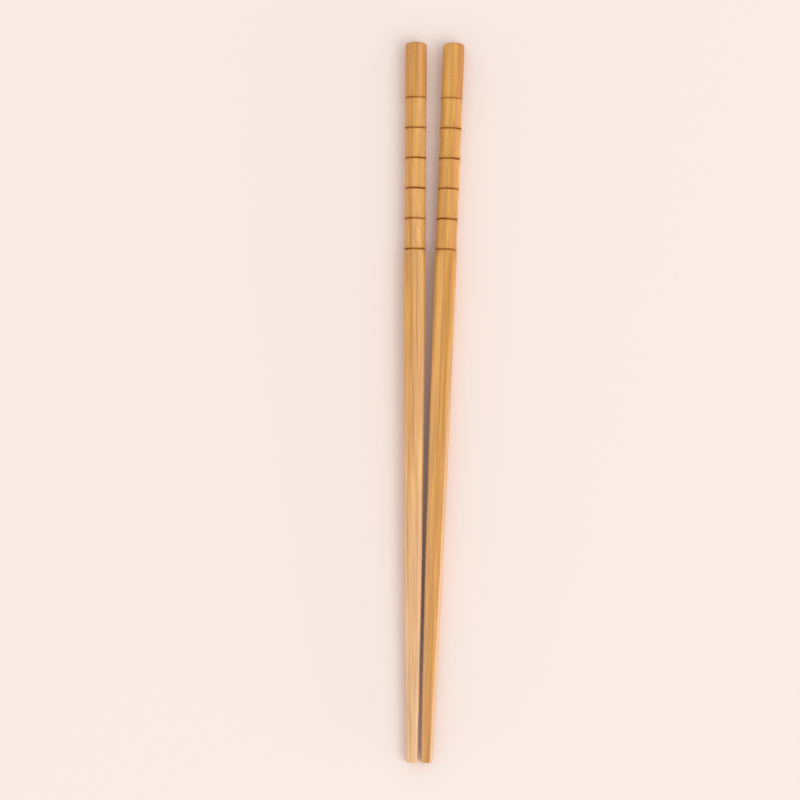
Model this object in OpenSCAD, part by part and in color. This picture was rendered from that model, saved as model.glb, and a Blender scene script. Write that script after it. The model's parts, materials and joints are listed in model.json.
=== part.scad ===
// Pair of plain bamboo chopsticks. Each stick is cut from one piece of bamboo: a round head, a
// grip turned with ring grooves and waists like the joints of a bamboo stem, and a squared body
// with rounded corners that tapers to a small flat tip. The two lie side by side on their lower
// flats, heads towards +Y and apart, tips towards -Y and close together. Millimetres, +Z up.

/* [Stick] */
// Length of a stick from the head's end to the tip
stick_len = 240; // [200:1:280]
// Length of the plain round head, from its end to the first ring groove
head_len = 18.7; // [10:0.1:24]
// Diameter of the plain round head
head_d = 7.2; // [6.8:0.1:8]
// Radius that rounds the rim of the head's end
head_rim = 0.9; // [0.4:0.1:2]

/* [Ringed grip] */
// Number of ring grooves
ring_count = 6; // [2:1:7]
// Distance from one ring groove to the next
ring_pitch = 10.2; // [7:0.1:11.5]
// Diameter over the crests on both sides of a ring groove
crest_d = 7.3; // [7:0.1:8.5]
// Depth of the waist between two rings, below the crests
waist_depth = 0.2; // [0.1:0.01:0.8]
// Width of a ring groove at the crests
groove_w = 0.6; // [0.3:0.05:1.2]
// Depth of a ring groove below the crests
groove_depth = 0.4; // [0.2:0.05:0.8]

/* [Squared body] */
// Distance of the body's flats outside the crests, at the last ring
flat_step = 0.05; // [0.01:0.01:0.3]
// Length of the gently tapered upper body, from the last ring to the knee
upper_len = 62; // [40:1:75]
// Width across the flats at the knee
knee_flats = 6.75; // [6:0.05:7.4]
// Distance that the lower flats bow outwards from a straight taper, halfway to the tip
lower_bow = 0.19; // [0.05:0.01:0.3]
// Width across the flats at the tip
tip_flats = 3.8; // [2.6:0.1:5]
// Distance that the rounded corners stand outside the flats, from the shoulder to the knee
corner_rise = 0.6; // [0.3:0.01:0.8]
// Distance that the rounded corners stand outside the flats at the tip
tip_corner_rise = 0.3; // [0.15:0.01:0.5]
// Length below the last ring over which the corners rise out of the round grip
run_out = 3; // [2:0.5:10]
// Radius that rounds the edge of the tip
tip_edge = 0.7; // [0.3:0.1:1.2]

/* [Pair] */
// Gap between the two heads
head_gap = 5.5; // [3:0.1:20]
// Gap between the two tips
tip_gap = 0.9; // [0.3:0.1:10]

/* [Hidden] */
$fn = 96;
bamboo = "#DCA05F";
// Room that a cutter needs past the face that it cuts
past = 1;
// Share of an edge's radius by which its arc is set in, so that it meets both faces at an angle
edge_inset = 0.97;

head_r = head_d / 2;
crest_r = crest_d / 2;

// Heights above the tip, along the stick
first_ring = stick_len - head_len;
last_ring = first_ring - (ring_count - 1) * ring_pitch;
shoulder = last_ring - run_out;
knee = last_ring - upper_len;
bow = knee / 2;

// Distances of the flats from the stick's axis at those heights
ring_flat = crest_r + flat_step;
knee_flat = knee_flats / 2;
tip_flat = tip_flats / 2;
bow_flat = (knee_flat + tip_flat) / 2 + lower_bow;
bow_corner_rise = (corner_rise + tip_corner_rise) / 2;
tip_corner = tip_flat + tip_corner_rise;
tip_slope = (bow_flat - tip_flat) / bow;

// Circle that hollows a waist from crest to crest
waist_half = (ring_pitch - groove_w) / 2;
waist_arc_r = (pow(waist_half, 2) + pow(waist_depth, 2)) / (2 * waist_depth);

// Rest: the upper body's lower flat is turned level and lifted to the surface it lies on
rest_tilt = atan((ring_flat - knee_flat) / upper_len);
rest_lift = knee_flat * cos(rest_tilt) - knee * sin(rest_tilt);

// Plan: half the distance between the axes at each end, and the lean that joins them
head_half = (head_d + head_gap) / 2;
tip_half = (tip_flats + tip_gap) / 2;
lean = asin((head_half - tip_half) / stick_len);
half_reach = stick_len * cos(rest_tilt) * cos(lean) / 2;

function ring_height(i) = first_ring - i * ring_pitch;

// V-shaped groove burnt in at one ring, as its section beside the axis
module ring_groove(height) {
    flank = groove_w / 2 / groove_depth;
    mouth = crest_r + past;
    half = flank * (groove_depth + past);
    polygon([[crest_r - groove_depth, height], [mouth, height - half], [mouth, height + half]]);
}

// Hollow between one ring and the next below it, a circle kept between the two groove centres
module waist_hollow(upper_ring) {
    middle = upper_ring - ring_pitch / 2;
    intersection() {
        translate([crest_r - waist_depth + waist_arc_r, middle])
            circle(r = waist_arc_r);
        translate([0, middle - ring_pitch / 2])
            square([crest_r + past, ring_pitch]);
    }
}

// What rounding takes off an outer corner of the turned outline; side is 1 at the head, -1 at the tip
module edge_round(corner_r, height, radius, side) {
    inset = radius * edge_inset;
    translate([corner_r - inset, height - side * inset])
        difference() {
            mirror([0, side > 0 ? 0 : 1])
                square(inset + past);
            circle(r = radius);
        }
}

// Half outline that the stick is turned to: tip, corners of the body, ringed grip and head
module turned_outline() {
    difference() {
        polygon([
            [0, 0],
            [tip_corner, 0],
            [bow_flat + bow_corner_rise, bow],
            [knee_flat + corner_rise, knee],
            [ring_flat + corner_rise, shoulder],
            [crest_r, last_ring],
            [crest_r, first_ring],
            [head_r, first_ring],
            [head_r, stick_len],
            [0, stick_len]
        ]);
        for (i = [0 : ring_count - 2])
            waist_hollow(ring_height(i));
        for (i = [0 : ring_count - 1])
            ring_groove(ring_height(i));
        edge_round(head_r, stick_len, head_rim, 1);
        edge_round(tip_corner, 0, tip_edge, -1);
    }
}

// Outline of the squared body between two opposite flats, wide open around the grip and head
module squared_outline() {
    open_half = ring_flat + corner_rise + past;
    half = [
        [tip_flat - tip_slope * past, -past],
        [bow_flat, bow],
        [knee_flat, knee],
        [ring_flat, last_ring],
        [open_half, last_ring],
        [open_half, stick_len + past]
    ];
    polygon(concat(half, [for (i = [len(half) - 1 : -1 : 0]) [-half[i].x, half[i].y]]));
}

// One stick upright on its tip: the turned form, with the body planed flat on four sides
module stick() {
    depth = 2 * (ring_flat + corner_rise + past);
    intersection() {
        rotate_extrude()
            turned_outline();
        rotate([90, 0, 0])
            linear_extrude(height = depth, center = true)
                squared_outline();
        rotate([90, 0, 90])
            linear_extrude(height = depth, center = true)
                squared_outline();
    }
}

// One stick laid down on its lower flat, leaning outwards from the tip
module laid_stick() {
    translate([tip_half, -half_reach, rest_lift])
        rotate([0, 0, -lean])
            rotate([rest_tilt - 90, 0, 0])
                stick();
}

module right_chopstick() {
    color(bamboo)
        laid_stick();
}

module left_chopstick() {
    color(bamboo)
        mirror([1, 0, 0])
            laid_stick();
}

left_chopstick();
right_chopstick();
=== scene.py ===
import json
import math

import bpy
import numpy as np
from mathutils import Matrix, Vector


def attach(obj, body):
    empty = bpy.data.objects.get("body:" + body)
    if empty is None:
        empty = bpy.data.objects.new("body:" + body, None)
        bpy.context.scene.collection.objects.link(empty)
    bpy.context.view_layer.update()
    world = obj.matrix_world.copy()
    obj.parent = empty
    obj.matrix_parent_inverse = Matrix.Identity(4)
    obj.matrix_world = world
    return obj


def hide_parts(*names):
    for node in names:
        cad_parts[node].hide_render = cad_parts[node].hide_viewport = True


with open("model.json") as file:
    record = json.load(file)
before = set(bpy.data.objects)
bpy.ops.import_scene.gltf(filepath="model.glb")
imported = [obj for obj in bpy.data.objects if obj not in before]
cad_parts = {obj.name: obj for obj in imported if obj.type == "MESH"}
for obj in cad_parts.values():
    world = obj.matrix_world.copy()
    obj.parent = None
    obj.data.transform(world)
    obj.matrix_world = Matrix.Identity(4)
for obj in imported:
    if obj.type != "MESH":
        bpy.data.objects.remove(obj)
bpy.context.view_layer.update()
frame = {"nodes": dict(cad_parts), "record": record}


# The two sticks. Each is one piece of bamboo, steamed until it turns honey brown, planed square
# and sanded to a taper. Its grip is turned round on a lathe and hollowed into waists like the
# joints of a bamboo stem, and rings are scorched in between them. Both lie on their lower flats.

MM = 0.001
HEAD_LEN = 18.7
HEAD_R = 3.59
HEAD_RIM = 0.9
RING_COUNT = 6
RING_PITCH = 10.2
CREST_R = 3.65
WAIST_DEPTH = 0.2
GROOVE_W = 0.6
GROOVE_DEPTH = 0.4
GROOVE_WAVER = 0.06
RING_FLAT = 3.7
UPPER_LEN = 62.0
KNEE_FLAT = 3.375
LOWER_BOW = 0.19
TIP_FLAT = 1.9
CORNER_RISE = 0.6
TIP_CORNER_RISE = 0.3
RUN_OUT = 3.0
TIP_EDGE = 0.4
SANDED_EDGE = 0.3
LIP_ROUND = 0.1

# Scorch: the burn's reach in groove widths, the share of smoke around it, and the heat's level
# and unsteadiness round a ring. Pale corners, partly sanding and partly a painted highlight: how
# squarely a corner's edge and middle face a flat.
BURN_REACH = 0.55
SMOKE_SHARE = 0.16
HEAT_LEVEL = 0.9
HEAT_WAVER = 0.4
CORNER_EDGE = 0.84
CORNER_MIDDLE = 0.71

AROUND = 160
BODY_STEP = 0.9
GRIP_STEP = 0.4
GROOVE_STEP = 0.05
EDGE_ROWS = 8
FACE_ROWS = 5


def soft_min(a, b, width):
    """Smaller of a and b, with the corner between them rounded off over the given width."""
    share = np.clip(0.5 + 0.5 * (b - a) / width, 0, 1)
    return b + (a - b) * share - width * share * (1 - share)


def waver(angle, ring, seed):
    """Unsteadiness round each ring, from -1 to 1: one to six waves a turn with seeded phases."""
    waves = np.arange(1, 7)
    phases = np.random.default_rng(seed).uniform(0, 2 * np.pi, (RING_COUNT, waves.size))
    return (np.sin(angle[..., None] * waves + phases[ring]) / waves).sum(-1) / (1 / waves).sum()


def row_heights(length, rings):
    """Heights above the tip of the rows of points: evenly spaced, and closer at the grooves."""
    body = np.arange(TIP_EDGE, rings[-1], BODY_STEP)
    grip = np.arange(rings[-1], length - HEAD_RIM, GRIP_STEP)
    even = np.concatenate([body, grip, [length - HEAD_RIM]])
    even = even[np.abs(even[:, None] - rings).min(1) > GROOVE_W]
    close = rings[:, None] + np.arange(-GROOVE_W, GROOVE_W, GROOVE_STEP)
    return np.sort(np.concatenate([even, close.ravel()]))


def stick_section(height, angle, rings, heats, seed):
    """Distance of the surface from the axis at a height above the tip and an angle round the stick.

    It is the smaller of two forms. The turned one is round: the corners' taper, then waists that
    are circle arcs from crest to crest, V grooves, and the head. The planed one is four flats, at
    the flat's distance divided by the cosine of the angle from its middle. The second result is
    the scorch of the rings, greatest at the bottom of a groove and fading over its lips. The
    third is the paleness of the corners, partly their sanding and partly a painted highlight,
    which grows from the last ring to the tip."""
    first_ring, last_ring = rings[0], rings[-1]
    knee = last_ring - UPPER_LEN
    stations = [0, knee / 2, knee, last_ring]
    flats = [TIP_FLAT, (KNEE_FLAT + TIP_FLAT) / 2 + LOWER_BOW, KNEE_FLAT, RING_FLAT]
    rises = [TIP_CORNER_RISE, (TIP_CORNER_RISE + CORNER_RISE) / 2, CORNER_RISE, CORNER_RISE]
    flat = np.interp(height, stations, flats)
    corner = flat + np.interp(height, stations, rises)
    run = CREST_R + (last_ring - height) * (RING_FLAT + CORNER_RISE - CREST_R) / RUN_OUT
    body = soft_min(corner, run, SANDED_EDGE)

    half = (RING_PITCH - GROOVE_W) / 2
    arc = (half**2 + WAIST_DEPTH**2) / (2 * WAIST_DEPTH)
    from_middle = np.minimum(np.abs((first_ring - height) % RING_PITCH - RING_PITCH / 2), half)
    waist = CREST_R - WAIST_DEPTH + arc - np.sqrt(arc**2 - from_middle**2)
    turned = np.where(height < last_ring, body, np.where(height > first_ring, HEAD_R, waist))

    ring = np.abs(height[..., None] - rings).argmin(-1)
    from_ring = np.abs(height - rings[ring] - GROOVE_WAVER * waver(angle, ring, seed))
    groove = CREST_R - GROOVE_DEPTH + from_ring * GROOVE_DEPTH / (GROOVE_W / 2)
    turned = soft_min(turned, groove, LIP_ROUND)

    facing = np.maximum(np.abs(np.cos(angle)), np.abs(np.sin(angle)))
    planed = np.where(height < last_ring, flat, 2 * RING_FLAT) / facing

    burn = np.exp(-((from_ring / (BURN_REACH * GROOVE_W)) ** 2))
    smoke = np.exp(-((from_ring / GROOVE_W) ** 2))
    heat = np.array(heats)[ring] * (HEAT_LEVEL + HEAT_WAVER * waver(angle, ring, seed + 1))
    scorch = np.clip((burn + SMOKE_SHARE * smoke) * heat, 0, 1)
    # Pale corners, strongest at a corner's middle and growing towards the tip: partly sanding, partly a
    # painted highlight along the corners.
    on_corner = np.clip((CORNER_EDGE - facing) / (CORNER_EDGE - CORNER_MIDDLE), 0, 1)
    sanding_and_highlight = on_corner * np.clip(1 - height / last_ring, 0, 1)
    return soft_min(turned, planed, SANDED_EDGE), scorch, sanding_and_highlight


def stick_axis(node, head_mount):
    """Tip, direction, up and length of a stick in millimetres, from its head's mount and its solid."""
    solid = frame["nodes"][node].data.vertices
    points = np.empty(len(solid) * 3)
    solid.foreach_get("co", points)
    mount = next(m for m in frame["record"]["mounts"] if m["name"] == head_mount)
    along = np.array(mount["axis"]) / np.linalg.norm(mount["axis"])
    on_axis = np.array(mount["pos_m"]) / MM
    reach = (points.reshape(-1, 3) / MM - on_axis) @ along
    up = np.array([0, 0, 1]) - along * along[2]
    return on_axis + along * reach.min(), along, up / np.linalg.norm(up), np.ptp(reach)


def stick_mesh(name, tip, along, up, length, heats, seed):
    """Carries the section from the middle of the tip, over its edge, up the stick and over the rim.

    Round an end's edge the section shrinks by a quarter circle, and across an end's face it
    shrinks evenly to a point on the axis."""
    rings = length - HEAD_LEN - RING_PITCH * np.arange(RING_COUNT)
    sides = row_heights(length, rings)
    face = np.arange(1, FACE_ROWS) / FACE_ROWS
    turn = np.linspace(0, np.pi / 2, EDGE_ROWS)
    tip_turn, rim_turn = turn[:-1], turn[1:]
    height = np.concatenate([
        0 * face,
        TIP_EDGE * (1 - np.cos(tip_turn)),
        sides,
        length - HEAD_RIM * (1 - np.sin(rim_turn)),
        length + 0 * face,
    ])
    cut_end = np.concatenate([
        1 + 0 * face,
        1 - np.sin(tip_turn),
        0 * sides,
        1 - np.cos(rim_turn),
        1 + 0 * face,
    ])
    inset = np.where(height < length / 2, TIP_EDGE, HEAD_RIM) * cut_end
    share = np.concatenate([face, 1 + 0 * tip_turn, 1 + 0 * sides, 1 + 0 * rim_turn, face[::-1]])
    rows = height.size
    angle = np.arange(AROUND) * 2 * np.pi / AROUND
    height_grid, angle_grid = np.broadcast_arrays(height[:, None], angle)
    radius, scorch, sanding_and_highlight = stick_section(height_grid, angle_grid, rings, heats, seed)
    radius = (radius - inset[:, None]) * share[:, None]
    out = np.cos(angle)[:, None] * np.cross(along, up) + np.sin(angle)[:, None] * up
    points = tip + height[:, None, None] * along + radius[..., None] * out
    points = np.concatenate([points.reshape(-1, 3), [tip], [tip + length * along]]) * MM

    first = np.arange(AROUND)
    after = np.roll(first, -1)
    low = (np.arange(rows - 1) * AROUND)[:, None]
    quads = np.stack([low + first, low + AROUND + first, low + AROUND + after, low + after], -1)
    tip_fan = np.stack([np.full(AROUND, rows * AROUND), first, after], -1)
    top = (rows - 1) * AROUND
    head_fan = np.stack([np.full(AROUND, rows * AROUND + 1), top + after, top + first], -1)
    corners = np.concatenate([quads.ravel(), tip_fan.ravel(), head_fan.ravel()])
    sizes = np.concatenate([np.full(quads.size // 4, 4), np.full(2 * AROUND, 3)])

    mesh = bpy.data.meshes.new(name)
    mesh.vertices.add(len(points))
    mesh.vertices.foreach_set("co", points.ravel())
    mesh.loops.add(corners.size)
    mesh.loops.foreach_set("vertex_index", corners.astype(np.int32))
    mesh.polygons.add(sizes.size)
    mesh.polygons.foreach_set("loop_start", (np.cumsum(sizes) - sizes).astype(np.int32))
    mesh.polygons.foreach_set("use_smooth", np.ones(sizes.size, bool))
    mesh.update(calc_edges=True)
    looks = {
        "scorch": scorch,
        "sanding_and_highlight": sanding_and_highlight,
        "turned": np.clip((height_grid - rings[-1]) / GROOVE_W, 0, 1),
        "head": np.clip((height_grid - rings[0]) / GROOVE_W, 0, 1),
        "cut_end": np.broadcast_to(cut_end[:, None], scorch.shape),
    }
    for look, values in looks.items():
        values = np.append(values.ravel(), values[[0, -1], 0])
        mesh.attributes.new(look, "FLOAT", "POINT").data.foreach_set("value", values)
    return mesh


def linear(hex_colour):
    """Linear RGBA of an sRGB hex colour: a straight foot below 0.04045, a power of 2.4 above it."""
    srgb = np.array([int(hex_colour[i:i + 2], 16) for i in (1, 3, 5)]) / 255
    rgb = np.where(srgb <= 0.04045, srgb / 12.92, ((srgb + 0.055) / 1.055) ** 2.4)
    return (*rgb.tolist(), 1.0)


def add(tree, kind, feeds, **settings):
    """Adds a shader node, sets its properties, and feeds its sockets with values or other sockets."""
    node = tree.nodes.new("ShaderNode" + kind)
    for key, value in settings.items():
        setattr(node, key, value)
    for socket, value in feeds.items():
        if isinstance(value, bpy.types.NodeSocket):
            tree.links.new(value, node.inputs[socket])
        else:
            node.inputs[socket].default_value = value
    return node


TOFFEE = "#C4803A"
GOLDEN = "#DDA444"
ROSE = "#DC9A58"
# Cream: the pale corners, partly sanded edges and partly a painted highlight.
CREAM = "#EFC298"
BUNDLE = "#9A5E2A"
END_GRAIN = "#B47A42"
SCORCHED = "#8E4C08"

# Width and run along the stick of each pattern of the grain, in millimetres. Single fibres are
# about 0.02 mm thick and would not show: a thread stands for a group of them.
GRAIN = {
    "bands": (1.6, 130.0),
    "strands": (0.85, 45.0),
    "threads": (0.3, 16.0),
    "bundles": (0.95, 60.0),
    "turning": (2.5, 0.4),
}

# Height of the grain's relief in millimetres, share of end grain on the cut ends, roughness that
# the lathe and the burn add, and the plain gloss with what the burn takes from it.
RELIEF = 0.008
END_SHARE = 0.6
LATHE_DULL = 0.12
BURN_DULL = 0.3
GLOSS = 0.5
BURN_GLOSS = -0.45


def sanded_bamboo(name, middle, along, tones, drift, bark, head_share, head_bark, tip):
    """Steamed bamboo, planed, turned and brought to a satin by sanding.

    The eye sees straight fibres along the stick in honey, straw and rose tones, browner towards
    the side that lay under the bark and across the head, with another tone towards the tip and
    pale corners, partly from sanding and partly a painted highlight. Thin brown bundles show as
    lines on the flats, as dashes in the waists and as dots on the cut ends. The lathe leaves faint
    marks across the grip, and the ring grooves are scorched dark and dull."""
    honey, straw = tones
    tip_tone, tip_share = tip
    material = bpy.data.materials.new(name)
    material.use_nodes = True
    tree = material.node_tree
    tree.nodes.clear()
    place = add(tree, "TexCoord", {})
    on_stick = add(tree, "Mapping", {
        "Vector": place.outputs["Object"],
        "Location": middle * MM,
        "Rotation": (math.asin(along[2]), 0, -math.atan2(along[0], along[1])),
        "Scale": (MM, MM, MM),
    }, vector_type="TEXTURE").outputs[0]
    grain = {
        pattern: add(tree, "Mapping", {
            "Vector": on_stick,
            "Location": drift,
            "Scale": (1 / width, 1 / run, 1 / width),
        }).outputs[0]
        for pattern, (width, run) in GRAIN.items()
    }
    bands = add(tree, "TexNoise", {"Vector": grain["bands"], "Scale": 1, "Detail": 1})
    strands = add(tree, "TexNoise", {"Vector": grain["strands"], "Scale": 1, "Detail": 2})
    threads = add(tree, "TexNoise", {"Vector": grain["threads"], "Scale": 1, "Detail": 2})
    turning = add(tree, "TexNoise", {"Vector": grain["turning"], "Scale": 1, "Detail": 1})
    bundles = add(tree, "TexVoronoi", {"Vector": grain["bundles"], "Scale": 1})
    band = add(tree, "SeparateColor", {0: bands.outputs["Color"]}).outputs
    strand = add(tree, "SeparateColor", {0: strands.outputs["Color"]}).outputs
    bundle = add(tree, "SeparateColor", {0: bundles.outputs["Color"]}).outputs
    height = add(tree, "SeparateXYZ", {0: on_stick}).outputs[1]
    scorch, sanding_and_highlight, turned, head, cut_end = (
        add(tree, "Attribute", {}, attribute_name=look).outputs["Fac"]
        for look in ("scorch", "sanding_and_highlight", "turned", "head", "cut_end")
    )
    to_bark, across_head = (
        add(tree, "VectorMath", {0: on_stick, 1: slope}, operation="DOT_PRODUCT").outputs["Value"]
        for slope in (bark, head_bark)
    )
    head_brown = add(tree, "Math", {0: across_head, 1: head}, operation="MULTIPLY").outputs[0]
    pale = add(tree, "Math", {0: band[1], 1: to_bark}, operation="SUBTRACT").outputs[0]
    brown = add(tree, "Math", {0: band[0], 1: to_bark}).outputs[0]
    brown = add(tree, "Math", {0: head, 1: head_share, 2: brown}, operation="MULTIPLY_ADD").outputs[0]

    # Each row: what is read, its two ends, and what it gives at those ends.
    rows = {
        "straw": (pale, 0.40, 0.60, 0, 1),
        "brown": (brown, 0.45, 0.80, 0, 0.65),
        "golden": (strand[1], 0.45, 0.57, 0, 0.7),
        "rose": (strand[2], 0.45, 0.57, 0, 0.6),
        "head_brown": (head_brown, 0, 0.8, 0, 0.8),
        "tip": (height, 20, -120, 0, tip_share),
        # Cream on the corners: partly sanding, partly a painted highlight along the corners.
        "corner": (sanding_and_highlight, 0, 0.35, 0, 0.6),
        "strand_light": (strand[0], 0.3, 0.7, 0.79, 1.16),
        "thread_light": (threads.outputs[0], 0.3, 0.7, 0.91, 1.09),
        "turning_mark": (turning.outputs[0], 0.3, 0.7, -0.035, 0.035),
        "bundle_core": (bundles.outputs["Distance"], 0.10, 0.24, 1, 0),
        "bundle_strength": (bundle[0], 0.3, 0.9, 0, 0.6),
        "satin": (threads.outputs[0], 0.3, 0.7, 0.2, 0.3),
    }
    read = {
        row: add(tree, "MapRange", {"Value": source, 1: low, 2: high, 3: at_low, 4: at_high}).outputs[0]
        for row, (source, low, high, at_low, at_high) in rows.items()
    }
    tone = linear(honey)
    layers = {
        "straw": straw,
        "brown": TOFFEE,
        "golden": GOLDEN,
        "rose": ROSE,
        "head_brown": TOFFEE,
        "tip": tip_tone,
        # The corner layer is partly sanding and partly a painted highlight.
        "corner": CREAM,
    }
    for layer, colour in layers.items():
        feeds = {0: read[layer], 6: tone, 7: linear(colour)}
        tone = add(tree, "Mix", feeds, data_type="RGBA").outputs[2]

    marks = {0: turned, 1: read["turning_mark"], 2: 1}
    light = add(tree, "Math", marks, operation="MULTIPLY_ADD").outputs[0]
    for part in ("strand_light", "thread_light"):
        light = add(tree, "Math", {0: light, 1: read[part]}, operation="MULTIPLY").outputs[0]
    tone = add(tree, "VectorMath", {0: tone, "Scale": light}, operation="SCALE").outputs[0]

    line = add(tree, "Math", {0: read["bundle_core"], 1: read["bundle_strength"]}, operation="MULTIPLY")
    end = add(tree, "Math", {0: cut_end, 1: END_SHARE}, operation="MULTIPLY")
    for share, colour in ((end.outputs[0], END_GRAIN), (line.outputs[0], BUNDLE), (scorch, SCORCHED)):
        tone = add(tree, "Mix", {0: share, 6: tone, 7: linear(colour)}, data_type="RGBA").outputs[2]

    relief = add(tree, "Math", {0: strands.outputs[0], 1: threads.outputs[0]})
    bump = add(tree, "Bump", {"Height": relief.outputs[0], "Distance": RELIEF * MM, "Strength": 1})
    dull = add(tree, "Math", {0: scorch, 1: cut_end}, operation="MAXIMUM").outputs[0]
    finish = {0: turned, 1: LATHE_DULL, 2: read["satin"]}
    satin = add(tree, "Math", finish, operation="MULTIPLY_ADD").outputs[0]
    rough = add(tree, "Math", {0: dull, 1: BURN_DULL, 2: satin}, operation="MULTIPLY_ADD")
    gloss = add(tree, "Math", {0: scorch, 1: BURN_GLOSS, 2: GLOSS}, operation="MULTIPLY_ADD")
    shader = add(tree, "BsdfPrincipled", {
        "Base Color": tone,
        "Roughness": rough.outputs[0],
        "IOR": 1.5,
        "Specular IOR Level": gloss.outputs[0],
        "Normal": bump.outputs[0],
    })
    add(tree, "OutputMaterial", {"Surface": shader.outputs[0]})
    return material


# Each stick was split from another part of a stem, so each has its own tones, its own place in
# the grain, and its own bark side: brown added for each millimetre towards it. On the head,
# head_share is brown added all over, and head_bark is more of it for each millimetre across.
STICKS = {
    "left": {
        "tones": ("#D99A50", "#E3AE70"),
        "drift": (11.0, 4.0, 7.0),
        "bark": (-0.05, 0, 0),
        "head_share": 0.35,
        "head_bark": (0.12, 0, 0),
        "tip": ("#EFC298", 0.75),
    },
    "right": {
        "tones": ("#DC9B44", "#E1A856"),
        "drift": (-23.0, 31.0, 19.0),
        "bark": (0.11, 0, 0),
        "head_share": 0.0,
        "head_bark": (0.3, 0, 0),
        "tip": ("#D0925A", 0.6),
    },
}
# The rings were burnt by hand pressure, so each has its own heat, listed from the head down.
RING_HEATS = {
    "left": (0.6, 0.75, 1.0, 0.9, 0.85, 0.9),
    "right": (0.45, 0.85, 0.95, 0.85, 1.0, 0.7),
}
FIRST_SEED = 3
for seed, (side, look) in enumerate(STICKS.items(), FIRST_SEED):
    node = side + "_chopstick"
    tip, along, up, length = stick_axis(node, side + "_head")
    stick_name = side + "_bamboo_stick"
    mesh = stick_mesh(stick_name, tip, along, up, length, RING_HEATS[side], seed)
    stick = bpy.data.objects.new(stick_name, mesh)
    bpy.context.scene.collection.objects.link(stick)
    middle = tip + along * length / 2
    finish_name = side + "_sanded_carbonised_bamboo"
    mesh.materials.append(sanded_bamboo(finish_name, middle, along, **look))
    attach(stick, "root")
    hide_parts(node)


# The surface under the sticks: one plain sheet of warm off-white board with a matt face. It lies
# flat, takes the sticks' soft shadows, and is far wider than the view, so it is the background too.

FLOOR_HALF = 3.0
BOARD = "#F9ECE6"
BOARD_ROUGHNESS = 0.9
BOARD_GLOSS = 0.1

floor_mesh = bpy.data.meshes.new("floor")
corners = FLOOR_HALF * np.array([(-1, -1, 0), (1, -1, 0), (1, 1, 0), (-1, 1, 0)])
floor_mesh.from_pydata(corners.tolist(), [], [(0, 1, 2, 3)])
floor = bpy.data.objects.new("floor", floor_mesh)
bpy.context.scene.collection.objects.link(floor)
board = bpy.data.materials.new("matt_board")
board.use_nodes = True
board_shader = board.node_tree.nodes["Principled BSDF"]
board_shader.inputs["Base Color"].default_value = linear(BOARD)
board_shader.inputs["Roughness"].default_value = BOARD_ROUGHNESS
board_shader.inputs["Specular IOR Level"].default_value = BOARD_GLOSS
floor_mesh.materials.append(board)


# Studio light: a pale room all round, a large soft box high on the right and towards the tips, and
# two long low strips whose reflections draw pale lines along the corners, the right one stronger.

ROOM = "#FFFFFF"
ROOM_STRENGTH = 0.75
room = bpy.data.worlds.new("pale_room")
bpy.context.scene.world = room
room.use_nodes = True
room_light = room.node_tree.nodes["Background"].inputs
room_light["Color"].default_value = linear(ROOM)
room_light["Strength"].default_value = ROOM_STRENGTH

# Each lamp's place, width and height in metres, and its watts.
BOXES = {
    "high_box": ((3.4, -2.2, 5.6), 4.5, 4.5, 146.0),
    "right_strip": ((4.4, -1.6, 0.55), 4.0, 0.6, 52.0),
    "left_strip": ((-4.4, -2.2, 0.55), 4.0, 0.6, 26.0),
}
for box_name, (place, wide, tall, watts) in BOXES.items():
    box = bpy.data.lights.new(box_name, "AREA")
    box.shape = "RECTANGLE"
    box.size, box.size_y, box.energy = wide, tall, watts
    lamp = bpy.data.objects.new(box_name, box)
    lamp.location = place
    lamp.rotation_euler = (-Vector(place)).to_track_quat("-Z", "Y").to_euler()
    bpy.context.scene.collection.objects.link(lamp)


# Camera: above the sticks and a little towards their tips, looking down on them through a long
# lens. It aims left of the pair, and is rolled so that the pair leans to the right.

VIEW_TILT = math.radians(5.5)
VIEW_ROLL = math.radians(1.307)
VIEW_DISTANCE = 1.2
AIM = Vector((-9.02, 0.12, 0)) * MM
LENS = 162.0
SENSOR = 36.0
NEAREST = 0.05
camera = bpy.data.objects.new("camera", bpy.data.cameras.new("camera"))
bpy.context.scene.collection.objects.link(camera)
view_turn = Matrix.Rotation(VIEW_ROLL, 4, "Z") @ Matrix.Rotation(VIEW_TILT, 4, "X")
camera.matrix_world = Matrix.Translation(AIM) @ view_turn @ Matrix.Translation((0, 0, VIEW_DISTANCE))
camera.data.lens = LENS
camera.data.sensor_width = SENSOR
camera.data.clip_start = NEAREST
bpy.context.scene.camera = camera
bpy.context.scene.view_settings.view_transform = "Standard"
